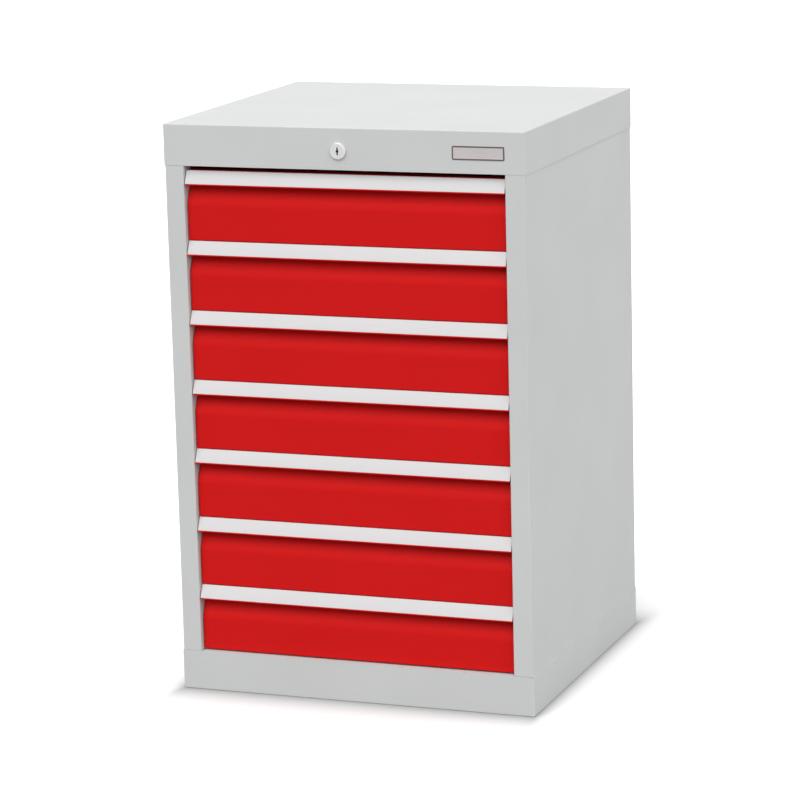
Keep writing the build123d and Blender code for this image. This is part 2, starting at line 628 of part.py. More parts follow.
def lock_catches():
    """One hook for each drawer, on the front of the bar and open upwards."""
    hook_back = LUG_BACK - CATCH_SHEET - CATCH_PLAY
    hook_front = hook_back - CATCH_SHEET
    x0, x1 = BAR_X - CATCH_WIDTH / 2, BAR_X + CATCH_WIDTH / 2
    catches = []
    for number in range(1, DRAWERS + 1):
        hook_top = lug_low(number) - CATCH_CLEAR
        foot = hook_top - CATCH_HOOK - CATCH_SHEET
        catch = block(x0, x1, hook_front, BAR_FRONT, foot, foot + CATCH_SHEET)
        catch += block(x0, x1, hook_front, hook_back, foot, hook_top)
        catch += block(x0, x1, BAR_FRONT - CATCH_SHEET, BAR_FRONT, foot - CATCH_HOOK,
                       foot + CATCH_SHEET)
        catches.append(catch)
    return together(catches)


def guide_places():
    """Guides half a pitch below the catches, evenly spread from the second drawer up."""
    step = (DRAWERS - 2) / (GUIDES - 1)
    numbers = [2 + round(step * i) for i in range(GUIDES)]
    return [lug_low(number) - PITCH / 2 for number in numbers]


def bar_guides():
    """Clips on the rear panel that the bar slides in, and the stop that it rests on."""
    inner = BAR_WIDTH / 2 + GUIDE_PLAY
    outer = inner + GUIDE_SHEET
    front = BAR_FRONT - GUIDE_PLAY
    pieces = []
    for z in guide_places():
        z0, z1 = z - GUIDE_HEIGHT / 2, z + GUIDE_HEIGHT / 2
        clip = block(BAR_X - outer, BAR_X + outer, front - GUIDE_SHEET, REAR_IN, z0, z1)
        clip -= block(BAR_X - inner, BAR_X + inner, front, REAR_IN + CUT, z0 - CUT, z1 + CUT)
        for side in (-1, 1):
            x_in = BAR_X + side * inner
            x_out = BAR_X + side * (outer + GUIDE_FOOT)
            clip += block(min(x_in, x_out), max(x_in, x_out), REAR_IN - GUIDE_SHEET, REAR_IN,
                          z0, z1)
        pieces.append(clip)
    stop = bar_bottom()
    rest = block(BAR_X - BAR_WIDTH / 2, BAR_X + BAR_WIDTH / 2, BAR_FRONT, REAR_IN,
                 stop - GUIDE_SHEET, stop)
    rest += block(BAR_X - BAR_WIDTH / 2, BAR_X + BAR_WIDTH / 2, REAR_IN - GUIDE_SHEET, REAR_IN,
                  stop - GUIDE_HEIGHT, stop)
    return together(pieces + [rest])


def shaft_bracket():
    """Angle under the cap that carries the rear end of the shaft."""
    x0, x1 = LOCK_X - BRACKET_WIDTH / 2, LOCK_X + BRACKET_WIDTH / 2
    plate = block(x0, x1, BRACKET_FRONT, BRACKET_BACK, LOCK_Z - BRACKET_DROP, INNER_TOP)
    plate += block(x0, x1, BRACKET_FRONT - BRACKET_FOOT, BRACKET_BACK,
                   INNER_TOP - BRACKET_SHEET, INNER_TOP)
    return plate - rod(BUSH_RADIUS + FIT_PLAY, LOCK_X, LOCK_Z,
                       BRACKET_FRONT - CUT, BRACKET_BACK + CUT)


def shaft_bush():
    bush = rod(BUSH_RADIUS, LOCK_X, LOCK_Z, BRACKET_FRONT, BRACKET_BACK)
    bush += rod(BUSH_FLANGE_RADIUS, LOCK_X, LOCK_Z, BRACKET_BACK, BUSH_BACK)
    return bush - rod(SHAFT_RADIUS + FIT_PLAY, LOCK_X, LOCK_Z,
                      BRACKET_FRONT - CUT, BUSH_BACK + CUT)


# ---------------------------------------------------------------- all nodes
def nodes():
    side_right = side_panel_right()
    front_right = upright(UPRIGHT_SETBACK)
    rear_right = upright(REAR_UPRIGHT_SETBACK)
    cases = together([case_member(runner_z(number)) for number in range(1, DRAWERS + 1)])
    made = {
        "top_cap": top_cap(),
        "base_tray": base_tray(),
        "side_panel_right": side_right,
        "side_panel_left": mirrored(side_right),
        "rear_panel": rear_panel(),
        "rear_rivets": rear_rivets(),
        "upright_front_right": front_right,
        "upright_front_left": mirrored(front_right),
        "upright_rear_right": rear_right,
        "upright_rear_left": mirrored(rear_right),
        "runner_cases_right": cases,
        "runner_cases_left": mirrored(cases),
        "badge_plate": badge_plate(),
        "lock_housing": lock_housing(),
        "lock_nut": lock_nut(),
        "lock_plug": lock_plug(),
        "lock_shaft": lock_shaft(),
        "lock_crank": lock_crank(),
        "lock_bar": lock_bar(),
        "lock_catches": lock_catches(),
        "bar_guides": bar_guides(),
        "shaft_bracket": shaft_bracket(),
        "shaft_bush": shaft_bush(),
    }
    for number in range(1, DRAWERS + 1):
        name = f"drawer_{number}"
        made[f"{name}_front"] = drawer_front(number)
        made[f"{name}_handle_strip"] = handle_strip(number)
        made[f"{name}_box"] = drawer_box(number)
        made[f"{name}_runners"] = pair(drawer_member, number)
        made[f"{name}_middle_runners"] = pair(middle_member, number)
    return made


os.makedirs("parts", exist_ok=True)
for node_name, shape in nodes().items():
    export_step(shape, f"parts/{node_name}.step")
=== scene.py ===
import bmesh
import bpy
import json
import math
import numpy as np
from mathutils import Matrix, Vector


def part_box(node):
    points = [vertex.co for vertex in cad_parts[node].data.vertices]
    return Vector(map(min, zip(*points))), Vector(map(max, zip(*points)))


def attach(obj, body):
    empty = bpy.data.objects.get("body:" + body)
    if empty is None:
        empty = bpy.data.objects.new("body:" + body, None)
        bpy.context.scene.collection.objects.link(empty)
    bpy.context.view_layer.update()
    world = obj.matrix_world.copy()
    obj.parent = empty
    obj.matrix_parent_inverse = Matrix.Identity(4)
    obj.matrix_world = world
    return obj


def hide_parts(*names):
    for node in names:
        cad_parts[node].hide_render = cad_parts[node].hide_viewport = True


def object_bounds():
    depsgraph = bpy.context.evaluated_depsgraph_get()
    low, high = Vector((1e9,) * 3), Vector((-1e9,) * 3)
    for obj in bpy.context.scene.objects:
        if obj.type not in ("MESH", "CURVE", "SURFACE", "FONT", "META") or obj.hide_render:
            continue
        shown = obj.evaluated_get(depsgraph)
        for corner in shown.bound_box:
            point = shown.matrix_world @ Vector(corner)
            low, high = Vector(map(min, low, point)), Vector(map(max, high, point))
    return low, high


# Reagent drawer cabinet: powder-coated steel carcass, seven red drawers with pale grip strips,
# a key lock and a bare name plate in the fascia. Metres, +Z up, -Y is the front.
# "Recess" is the distance behind the plane of the fascia and stiles, as in the construction.

MM = 0.001
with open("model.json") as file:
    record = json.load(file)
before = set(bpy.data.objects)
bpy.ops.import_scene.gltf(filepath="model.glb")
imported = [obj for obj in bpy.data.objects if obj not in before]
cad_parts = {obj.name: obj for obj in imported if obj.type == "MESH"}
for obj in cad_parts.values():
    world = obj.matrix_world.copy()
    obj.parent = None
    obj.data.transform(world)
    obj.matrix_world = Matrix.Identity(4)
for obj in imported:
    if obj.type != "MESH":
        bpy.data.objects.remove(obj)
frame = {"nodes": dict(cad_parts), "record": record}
cad_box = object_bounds()
nodes = frame["nodes"]

DRAWERS = len([name for name in nodes if name.endswith("_handle_strip")])
FRONT_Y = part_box("top_cap")[0].y
FACE_LEFT, FACE_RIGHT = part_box("drawer_1_front")[0].x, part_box("drawer_1_front")[1].x


# ---------------------------------------------------------------- rounded sections
def unit(vector):
    return vector / np.linalg.norm(vector)


def corner_arc(before, corner, after, radius, steps):
    """Arc that is tangent to both runs of a corner. With t the turn between the runs, it starts
    radius * tan(t / 2) before the corner, and its centre is one radius to the side of the turn."""
    run_in, run_out = unit(corner - before), unit(after - corner)
    cross = run_in[0] * run_out[1] - run_in[1] * run_out[0]
    turn = math.atan2(cross, float(run_in @ run_out))
    side = math.copysign(1.0, turn)
    normal = side * np.array([-run_in[1], run_in[0]])
    start = corner - run_in * radius * math.tan(abs(turn) / 2)
    centre = start + radius * normal
    angle = turn * np.linspace(0.0, 1.0, steps + 1)
    spoke = -normal
    spokes = np.stack([spoke[0] * np.cos(angle) - spoke[1] * np.sin(angle),
                       spoke[0] * np.sin(angle) + spoke[1] * np.cos(angle)], 1)
    return centre + radius * spokes, -side * spokes


def rounded_line(corners, radii, closed=False, steps=8):
    """Points along a line whose corners are rounded, each with the left-hand unit normal there.
    A radius of 0 keeps a corner sharp, and gives it the mean normal of its two runs."""
    corners = np.array(corners, float)
    count = len(corners)
    points, normals = [], []
    for index, radius in enumerate(radii):
        before, after = corners[index - 1], corners[(index + 1) % count]
        corner = corners[index]
        end = not closed and index in (0, count - 1)
        if end:
            run = unit(corners[1] - corner) if index == 0 else unit(corner - before)
            arc, arc_normals = corner[None], np.array([[-run[1], run[0]]])
        elif radius == 0:
            runs = unit(corner - before) + unit(after - corner)
            arc, arc_normals = corner[None], unit(np.array([-runs[1], runs[0]]))[None]
        else:
            arc, arc_normals = corner_arc(before, corner, after, radius, steps)
        points.append(arc)
        normals.append(arc_normals)
    return np.concatenate(points), np.concatenate(normals)


def loop_faces(rings, around, closed_rings=False):
    """Quads between successive rings of a grid of rings times around points."""
    ring = np.arange(rings if closed_rings else rings - 1)[:, None]
    place = np.arange(around)[None, :]
    after, beside = (ring + 1) % rings, (place + 1) % around
    return np.stack([ring * around + place, ring * around + beside,
                     after * around + beside, after * around + place], -1).reshape(-1, 4)


def carried(outline, normals, x0, x1, edge):
    """A closed (y, z) outline carried along X. The first and last ring lie inside the outline by
    the width of the edge, along its normals, so that both ends get a small chamfer."""
    places = np.array([x0, x0 + edge, x1 - edge, x1])
    shrink = np.array([edge, 0.0, 0.0, edge])
    section = outline[None] + normals[None] * shrink[:, None, None]
    x = np.broadcast_to(places[:, None, None], section.shape[:2] + (1,))
    vertices = np.concatenate([x, section], 2).reshape(-1, 3)
    around = len(outline)
    faces = loop_faces(len(places), around).tolist()
    faces.append(list(range(around)))
    faces.append(list(range(around * (len(places) - 1), around * len(places)))[::-1])
    return vertices, faces


def turned(radius, recess, segments, closed=True):
    """A profile of (radius, recess) turned about the Y axis: x = r cos a, z = r sin a. The radius
    may be a grid that also varies with the angle, one column for each angle."""
    angle = np.linspace(0.0, 2 * math.pi, segments, endpoint=False)
    radius = np.broadcast_to(np.asarray(radius, float).reshape(len(recess), -1),
                             (len(recess), segments))
    y = np.broadcast_to(np.asarray(recess, float)[:, None], radius.shape)
    vertices = np.stack([radius * np.cos(angle), y, radius * np.sin(angle)], -1)
    return vertices.reshape(-1, 3), loop_faces(len(recess), segments, closed).tolist()


# ---------------------------------------------------------------- pieces
def joined(shells):
    """Several (vertices, faces) shells as one pair."""
    vertices, faces, count = [], [], 0
    for shell_vertices, shell_faces in shells:
        vertices.append(shell_vertices)
        faces += [[corner + count for corner in face] for face in shell_faces]
        count += len(shell_vertices)
    return np.concatenate(vertices), faces


def piece(name, shell, body, material, replaced=(), crease=35.0):
    """A mesh whose faces point outwards, smooth up to the crease angle."""
    vertices, faces = shell
    mesh = bpy.data.meshes.new(name)
    mesh.from_pydata(np.asarray(vertices, float).tolist(), [], faces)
    work = bmesh.new()
    work.from_mesh(mesh)
    bmesh.ops.recalc_face_normals(work, faces=work.faces)
    work.to_mesh(mesh)
    work.free()
    mesh.polygons.foreach_set("use_smooth", np.ones(len(mesh.polygons), bool))
    mesh.set_sharp_from_angle(angle=math.radians(crease))
    mesh.materials.append(material)
    made = bpy.data.objects.new(name, mesh)
    bpy.context.scene.collection.objects.link(made)
    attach(made, body)
    if replaced:
        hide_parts(*replaced)
    return made


# ---------------------------------------------------------------- materials
class Finish:
    """A Principled material and the few nodes that its pattern needs, all on Object coordinates."""

    def __init__(self, name):
        self.material = bpy.data.materials.new(name)
        self.material.use_nodes = True
        self.tree = self.material.node_tree
        self.shader = self.tree.nodes["Principled BSDF"]
        self.place = self.node("ShaderNodeTexCoord").outputs["Object"]

    def node(self, kind, **settings):
        made = self.tree.nodes.new(kind)
        for key, value in settings.items():
            setattr(made, key, value)
        return made

    def link(self, source, target):
        self.tree.links.new(source, target)

    def put(self, **values):
        for key, value in values.items():
            self.shader.inputs[key.replace("_", " ")].default_value = value

    def noise(self, scale, detail=2.0, stretch=None):
        """Noise of that many waves a metre, drawn out along an axis by a stretch."""
        made = self.node("ShaderNodeTexNoise")
        made.inputs["Scale"].default_value = scale
        made.inputs["Detail"].default_value = detail
        source = self.place
        if stretch:
            mapping = self.node("ShaderNodeMapping")
            mapping.inputs["Scale"].default_value = stretch
            self.link(source, mapping.inputs["Vector"])
            source = mapping.outputs["Vector"]
        self.link(source, made.inputs["Vector"])
        return made.outputs["Fac"]

    def spread(self, source, low, high, from_low=0.3, from_high=0.7):
        """Brings the source's usual range, or a stated one, to the range from low to high."""
        made = self.node("ShaderNodeMapRange")
        made.inputs["From Min"].default_value = from_low
        made.inputs["From Max"].default_value = from_high
        made.inputs["To Min"].default_value = low
        made.inputs["To Max"].default_value = high
        self.link(source, made.inputs["Value"])
        return made.outputs["Result"]

    def blended(self, factor, dark, light):
        """Colour between two colours or sockets, by a factor that is a number or a socket."""
        made = self.node("ShaderNodeMix", data_type="RGBA")
        if isinstance(factor, float):
            made.inputs["Factor"].default_value = factor
        else:
            self.link(factor, made.inputs["Factor"])
        ends = [socket for socket in made.inputs if socket.type == "RGBA"]
        for end, colour in zip(ends, (dark, light)):
            if isinstance(colour, tuple):
                end.default_value = (*colour, 1.0)
            else:
                self.link(colour, end)
        return next(socket for socket in made.outputs if socket.type == "RGBA")

    def bump(self, source, depth, before=None):
        """Normal for a relief of that depth in metres, on top of an earlier bump, if any."""
        made = self.node("ShaderNodeBump")
        made.inputs["Distance"].default_value = depth
        made.inputs["Strength"].default_value = 1.0
        self.link(source, made.inputs["Height"])
        if before is not None:
            self.link(before, made.inputs["Normal"])
        return made.outputs["Normal"]


SPECK_SHARE = 0.35              # of the colour's drift that goes to the fine grain
NICKEL = (0.58, 0.58, 0.57)
# near black painted into the keyway as its shade
KEYWAY_PAINTED_SHADE = (0.012, 0.008, 0.008)
PLATE_FIELD = (0.50, 0.46, 0.46), (0.58, 0.54, 0.54)
PLATE_RIM = (0.105, 0.075, 0.075)


def powder_coat(name, colour, gloss=0.5, level=0.2, drift=0.03, peel=12e-6):
    """Baked powder coat: orange peel of about 2 mm with a finer grain on it, a colour that drifts
    a little over a hand's breadth, and a gloss that is broken up by the grain."""
    finish = Finish(name)
    grain = finish.noise(2600.0, 3.0)
    orange_peel = finish.noise(520.0, 2.0)
    cloud = finish.noise(7.0, 3.0)
    dark = tuple(channel * (1 - drift) for channel in colour)
    light = tuple(min(1.0, channel * (1 + drift)) for channel in colour)
    broad = finish.blended(finish.spread(cloud, 0.0, 1.0), dark, light)
    speck = finish.blended(finish.spread(grain, 0.0, 1.0), dark, light)
    finish.link(finish.blended(SPECK_SHARE, broad, speck), finish.shader.inputs["Base Color"])
    finish.link(finish.spread(grain, gloss - 0.05, gloss + 0.07),
                finish.shader.inputs["Roughness"])
    peeled = finish.bump(orange_peel, peel)
    finish.link(finish.bump(grain, peel * 0.25, before=peeled), finish.shader.inputs["Normal"])
    finish.put(Specular_IOR_Level=level)
    return finish.material


def zinc_plate(name, colour):
    """Rolled and zinc-plated steel: fine lines along the rolling direction, a faint spangle in
    the colour and a roughness that follows both."""
    finish = Finish(name)
    rolled = finish.noise(900.0, 3.0, stretch=(1.0, 0.04, 1.0))
    spangle = finish.noise(120.0, 4.0)
    dark = tuple(channel * 0.82 for channel in colour)
    finish.link(finish.blended(finish.spread(spangle, 0.0, 1.0), dark, colour),
                finish.shader.inputs["Base Color"])
    finish.link(finish.spread(rolled, 0.3, 0.46), finish.shader.inputs["Roughness"])
    finish.link(finish.bump(rolled, 6e-6), finish.shader.inputs["Normal"])
    finish.put(Metallic=1.0)
    return finish.material


def lock_nickel(name, colour, shade_painted_behind=None):
    """Satin nickel with fine turning marks round the lock's axis. Behind a given recess the
    colour falls to near black, a painted shade inside the keyway."""
    finish = Finish(name)
    centre = (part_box("lock_plug")[0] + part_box("lock_plug")[1]) / 2
    split = finish.node("ShaderNodeSeparateXYZ")
    mapping = finish.node("ShaderNodeMapping")
    mapping.inputs["Location"].default_value = (-centre.x, 0.0, -centre.z)
    finish.link(finish.place, mapping.inputs["Vector"])
    finish.link(mapping.outputs["Vector"], split.inputs["Vector"])
    flat = finish.node("ShaderNodeCombineXYZ")
    finish.link(split.outputs["X"], flat.inputs["X"])
    finish.link(split.outputs["Z"], flat.inputs["Y"])
    radius = finish.node("ShaderNodeVectorMath", operation="LENGTH")
    finish.link(flat.outputs["Vector"], radius.inputs[0])
    rings = finish.node("ShaderNodeTexNoise", noise_dimensions="1D")
    rings.inputs["Scale"].default_value = 5000.0
    finish.link(radius.outputs["Value"], rings.inputs["W"])
    marks = rings.outputs["Fac"]
    dark = tuple(channel * 0.9 for channel in colour)
    shade = finish.blended(finish.spread(marks, 0.0, 1.0), dark, colour)
    # painted shade: behind the recess the keyway's hollow is coloured near black
    if shade_painted_behind is not None:
        depth = finish.spread(split.outputs["Y"], 0.0, 1.0, shade_painted_behind, shade_painted_behind + 0.4 * MM)
        shade = finish.blended(depth, shade, KEYWAY_PAINTED_SHADE)
    finish.link(shade, finish.shader.inputs["Base Color"])
    finish.link(finish.spread(marks, 0.34, 0.5), finish.shader.inputs["Roughness"])
    finish.link(finish.bump(marks, 3e-6), finish.shader.inputs["Normal"])
    finish.put(Metallic=0.6)
    return finish.material


def plate_finish(name):
    """Brushed field with a darker anodised rim. The rim is the mesh's own attribute."""
    finish = Finish(name)
    brushed = finish.noise(1400.0, 3.0, stretch=(0.03, 1.0, 1.0))
    rim = finish.node("ShaderNodeAttribute", attribute_name="rim").outputs["Fac"]
    field = finish.blended(finish.spread(brushed, 0.0, 1.0), *PLATE_FIELD)
    finish.link(finish.blended(rim, field, PLATE_RIM), finish.shader.inputs["Base Color"])
    finish.link(finish.spread(brushed, 0.42, 0.58), finish.shader.inputs["Roughness"])
    finish.link(finish.bump(brushed, 4e-6), finish.shader.inputs["Normal"])
    finish.put(Metallic=0.0, Specular_IOR_Level=0.3)
    return finish.material


def nylon(name, colour):
    """Moulded natural nylon: slightly uneven, with light passing into it."""
    finish = Finish(name)
    cloud = finish.noise(300.0, 3.0)
    dark = tuple(channel * 0.93 for channel in colour)
    finish.link(finish.blended(finish.spread(cloud, 0.0, 1.0), dark, colour),
                finish.shader.inputs["Base Color"])
    finish.link(finish.bump(cloud, 5e-6), finish.shader.inputs["Normal"])
    finish.put(Roughness=0.45, Subsurface_Weight=0.15)
    return finish.material


FINISHES = {
    "carcass_grey": powder_coat("carcass_grey", (0.571, 0.584, 0.578)),
    "drawer_red": powder_coat("drawer_red", (0.600, 0.0105, 0.0105), level=0.04, drift=0.02),
    "strip_pale": powder_coat("strip_pale", (0.605, 0.595, 0.600), gloss=0.4, drift=0.012,
                              peel=4e-6),
    "drawer_grey": powder_coat("drawer_grey", (0.50, 0.51, 0.51)),
    "zinc_steel": zinc_plate("zinc_steel", (0.58, 0.60, 0.62)),
    "lock_nickel": lock_nickel("lock_nickel", NICKEL),
    "plate_aluminium": plate_finish("plate_aluminium"),
    "bush_nylon": nylon("bush_nylon", (0.80, 0.80, 0.77)),
}


def dress_nodes():
    """Every node of the construction takes the finish of its slot in the record."""
    for part in frame["record"]["subparts"]:
        mesh = nodes[part["node"]].data
        mesh.materials.clear()
        mesh.materials.append(FINISHES[part["material_slot"]])


# ---------------------------------------------------------------- drawer fronts
# The sizes are the construction's own, so that each front fills the place of its node.
PANEL_RECESS = 7.4 * MM
WEB_RECESS = 20.0 * MM
TAB_RECESS = 29.0 * MM          # the drawer box's front wall
STRIP_HEIGHT = 18.6 * MM
STRIP_LEAN = 8.0 * MM
STRIP_SHEET = 1.2 * MM
FINGER_SLOPE = 26.8 * MM
SHEET = 1.0 * MM
HEM = 1.8 * MM                  # red edge that shows under the strip
FLANGE_RECESS = 36.0 * MM       # rear edge of the grip's top flange
LIP_DEPTH = 18.0 * MM
TAB_WIDTH, TAB_LIFT = 30.0 * MM, 2.0 * MM
STRIP_ANGLE = math.atan2(STRIP_LEAN, STRIP_HEIGHT)
STRIP_ACROSS = STRIP_SHEET / math.cos(STRIP_ANGLE)
GRIP_ACROSS = SHEET / math.cos(STRIP_ANGLE)
SIDE_BEND = 1.6 * MM            # bend between the panel and its side flanges
LIP_BEND = 1.5 * MM             # bend between the panel and its lower lip
SLOPE_BEND, WEB_BEND = 30.0 * MM, 4.0 * MM      # bends at the lower and upper end of the slope
SHEET_EDGE = 0.2 * MM           # chamfer at the cut ends of the sheet


def yz(top, recess, drop):
    """(y, z) of a point this far behind the fascia and below the drawer's top edge."""
    return (FRONT_Y + recess, top - drop)


def strip_recess(drop):
    return STRIP_LEAN * (1 - drop / STRIP_HEIGHT)


def face_sheet(top, low, inset):
    """Panel, slope and web as one grid. Across, the sheet runs from one rear edge forward along a
    side flange, round a quarter bend, over the face and back along the other flange. With s
    the recess of the section at that height and b the bend's radius, a point of the bend at
    angle a lies at x = half - b + b sin a and recess s + b - b cos a. The inset moves the
    whole surface into the sheet."""
    section, normals = rounded_line([
        yz(top, PANEL_RECESS, top - low - LIP_BEND),
        yz(top, PANEL_RECESS, STRIP_HEIGHT + FINGER_SLOPE),
        yz(top, WEB_RECESS, STRIP_HEIGHT),
        yz(top, WEB_RECESS, SHEET / 2),
    ], [0, SLOPE_BEND, WEB_BEND, 0], steps=14)
    section = section - normals * inset
    half, bend = FACE_RIGHT - inset, SIDE_BEND - inset
    angle = np.linspace(0.0, math.pi / 2, 7)
    x = np.concatenate([[half, half], (half - bend + bend * np.sin(angle))[::-1],
                        [0.0], -(half - bend + bend * np.sin(angle)), [-half, -half]])
    back = np.concatenate([[0.0, 0.0], (bend - bend * np.cos(angle))[::-1],
                           [0.0], bend - bend * np.cos(angle), [0.0, 0.0]])
    y = section[None, :, 0] + back[:, None]
    rear = FRONT_Y + TAB_RECESS
    y[0] = y[-1] = rear
    middle = (rear + section[:, 0] + bend) / 2
    y[1] = y[-2] = middle
    z = np.broadcast_to(section[None, :, 1], y.shape)
    return np.stack([np.broadcast_to(x[:, None], y.shape), y, z], -1)


def walled(outer, inner):
    """Two grids of the same size as the two sides of a sheet, with their four edges closed."""
    rows, columns = outer.shape[:2]
    count = rows * columns
    index = np.arange(count).reshape(rows, columns)
    quads = np.stack([index[:-1, :-1], index[1:, :-1], index[1:, 1:], index[:-1, 1:]], -1)
    quads = quads.reshape(-1, 4)
    edge = np.concatenate([index[:, 0], index[-1, 1:], index[-2::-1, -1], index[0, -2:0:-1]])
    ring = np.stack([edge, np.roll(edge, -1)], 1)
    rim = np.concatenate([ring, ring[:, ::-1] + count], 1)
    vertices = np.concatenate([outer.reshape(-1, 3), inner.reshape(-1, 3)])
    faces = np.concatenate([quads, quads[:, ::-1] + count, rim])
    return vertices, faces.tolist()


def grip_outline(top):
    """Top flange, grip behind the strip and hem under it, as one closed section."""
    behind = lambda drop: strip_recess(drop) + STRIP_ACROSS
    foot = STRIP_HEIGHT + HEM
    corners = [
        yz(top, FLANGE_RECESS, SHEET),
        yz(top, FLANGE_RECESS, 0.0),
        yz(top, behind(0.0), 0.0),
        yz(top, behind(STRIP_HEIGHT), STRIP_HEIGHT),
        yz(top, 0.0, STRIP_HEIGHT),
        yz(top, 0.0, foot),
        yz(top, behind(foot) + GRIP_ACROSS, foot),
        yz(top, behind(SHEET) + GRIP_ACROSS, SHEET),
    ]
    radii = [0.0, 0.3 * MM, 0.25 * MM, 0.0, 0.15 * MM, 0.35 * MM, 0.6 * MM, 1.2 * MM]
    return rounded_line(corners, radii, closed=True, steps=6)


def lip_outline(low):
    """The panel's lower edge, bent back under it, as one closed section."""
    outer, normals = rounded_line([
        (FRONT_Y + PANEL_RECESS, low + LIP_BEND),
        (FRONT_Y + PANEL_RECESS, low),
        (FRONT_Y + PANEL_RECESS + LIP_DEPTH, low),
    ], [0, LIP_BEND, 0], steps=8)
    # the first point repeats the arc's start, so it is left out
    outer, normals = outer[1:], normals[1:]
    inner = outer + normals * SHEET
    return np.concatenate([outer, inner[::-1]])


def drawer_front(number):
    """The red folded front of one drawer: face, grip with its hem, lower lip and box tabs."""
    body = f"drawer_{number}"
    low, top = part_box(f"{body}_front")[0].z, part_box(f"{body}_front")[1].z
    face = walled(face_sheet(top, low, 0.0), face_sheet(top, low, SHEET))
    grip, grip_normals = grip_outline(top)
    grip_shell = carried(grip, grip_normals, FACE_LEFT, FACE_RIGHT, SHEET_EDGE)
    lip = lip_outline(low)
    lip_shell = carried(lip, np.zeros_like(lip), FACE_LEFT + SIDE_BEND, FACE_RIGHT - SIDE_BEND,
                        SHEET_EDGE)
    tabs = []
    for edge, inward in ((FACE_LEFT, 1.0), (FACE_RIGHT, -1.0)):
        tab, tab_normals = rounded_line([
            (FRONT_Y + TAB_RECESS - SHEET, low + TAB_LIFT),
            (FRONT_Y + TAB_RECESS, low + TAB_LIFT),
            (FRONT_Y + TAB_RECESS, top - SHEET),
            (FRONT_Y + TAB_RECESS - SHEET, top - SHEET),
        ], [0, 0, 0, 0], closed=True)
        x0, x1 = sorted((edge, edge + inward * TAB_WIDTH))
        tabs.append(carried(tab, tab_normals, x0, x1, SHEET_EDGE / 2))
    piece(f"{body}_folded_front", joined([face, grip_shell, lip_shell, *tabs]), body,
          FINISHES["drawer_red"], [f"{body}_front"])


def grip_strip(number):
    """The pale strip of one drawer: its leaning section with eased edges, carried along X."""
    body = f"drawer_{number}"
    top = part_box(f"{body}_handle_strip")[1].z
    section, normals = rounded_line([
        yz(top, strip_recess(0.0), 0.0),
        yz(top, strip_recess(STRIP_HEIGHT), STRIP_HEIGHT),
        yz(top, strip_recess(STRIP_HEIGHT) + STRIP_ACROSS, STRIP_HEIGHT),
        yz(top, strip_recess(0.0) + STRIP_ACROSS, 0.0),
    ], [0.5 * MM, 0.35 * MM, 0.0, 0.2 * MM], closed=True, steps=6)
    shell = carried(section, normals, FACE_LEFT, FACE_RIGHT, 0.35 * MM)
    piece(f"{body}_grip_strip", shell, body, FINISHES["strip_pale"],
          [f"{body}_handle_strip"])


# ---------------------------------------------------------------- lock and name plate
def lock_bezel():
    """Bezel and threaded barrel turned about the lock's axis. On the barrel the radius is
    r - d * w(y / p - a / 2 pi), with p the pitch, d the depth and w a wave from 0 to 1."""
    low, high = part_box("lock_housing")
    centre_x, centre_z = (low.x + high.x) / 2, (low.z + high.z) / 2
    outer, bore, barrel = (high.x - low.x) / 2, 6.65 * MM, 9.4 * MM
    front, rear = low.y, high.y
    face = rounded_line([
        (bore, FRONT_Y + 1.0 * MM), (bore, front), (outer - 1.6 * MM, front),
        (outer, front + 1.5 * MM), (outer, FRONT_Y), (barrel, FRONT_Y)],
        [0, 0.35 * MM, 0.6 * MM, 0.5 * MM, 0.0, 0], steps=6)[0]
    segments, pitch, depth = 96, 1.0 * MM, 0.45 * MM
    along = np.linspace(FRONT_Y + 0.2 * MM, rear - 0.3 * MM, 161)
    angle = np.linspace(0.0, 1.0, segments, endpoint=False)
    wave = 0.5 - 0.5 * np.cos(2 * math.pi * ((along[:, None] / pitch) - angle[None, :]))
    taper = np.clip((rear - along) / (1.5 * MM), 0.0, 1.0)[:, None]
    thread = barrel - depth * wave * taper - 0.3 * MM * (1 - taper)
    end = np.full((2, segments), bore)
    radius = np.concatenate([np.repeat(face[:, :1], segments, 1), thread, end])
    recess = np.concatenate([face[:, 1], along, [rear, FRONT_Y + 1.0 * MM]])
    vertices, faces = turned(radius, recess, segments)
    vertices = vertices + np.array([centre_x, 0.0, centre_z])
    piece("lock_bezel_and_barrel", (vertices, faces), "root", FINISHES["lock_nickel"],
          ["lock_housing"], crease=40.0)


def rounded_rectangle(width, height, radius):
    half_w, half_h = width / 2, height / 2
    corners = [(-half_w, -half_h), (half_w, -half_h), (half_w, half_h), (-half_w, half_h)]
    return rounded_line(corners, [radius] * 4, closed=True)[0]


PLATE_CORNER = 2.0              # this and the profile are in millimetres
PLATE_INNER_CORNER = 0.3
PLATE_RIM_WIDTH = 1.8
PLATE_PROFILE = [(0.0, 0.0), (0.0, 0.55), (0.12, 0.72), (0.35, 0.8), (1.25, 0.8), (1.6, 0.72),
                 (1.75, 0.5), (1.9, 0.36), (2.2, 0.34), (4.5, 0.34), (7.0, 0.34)]


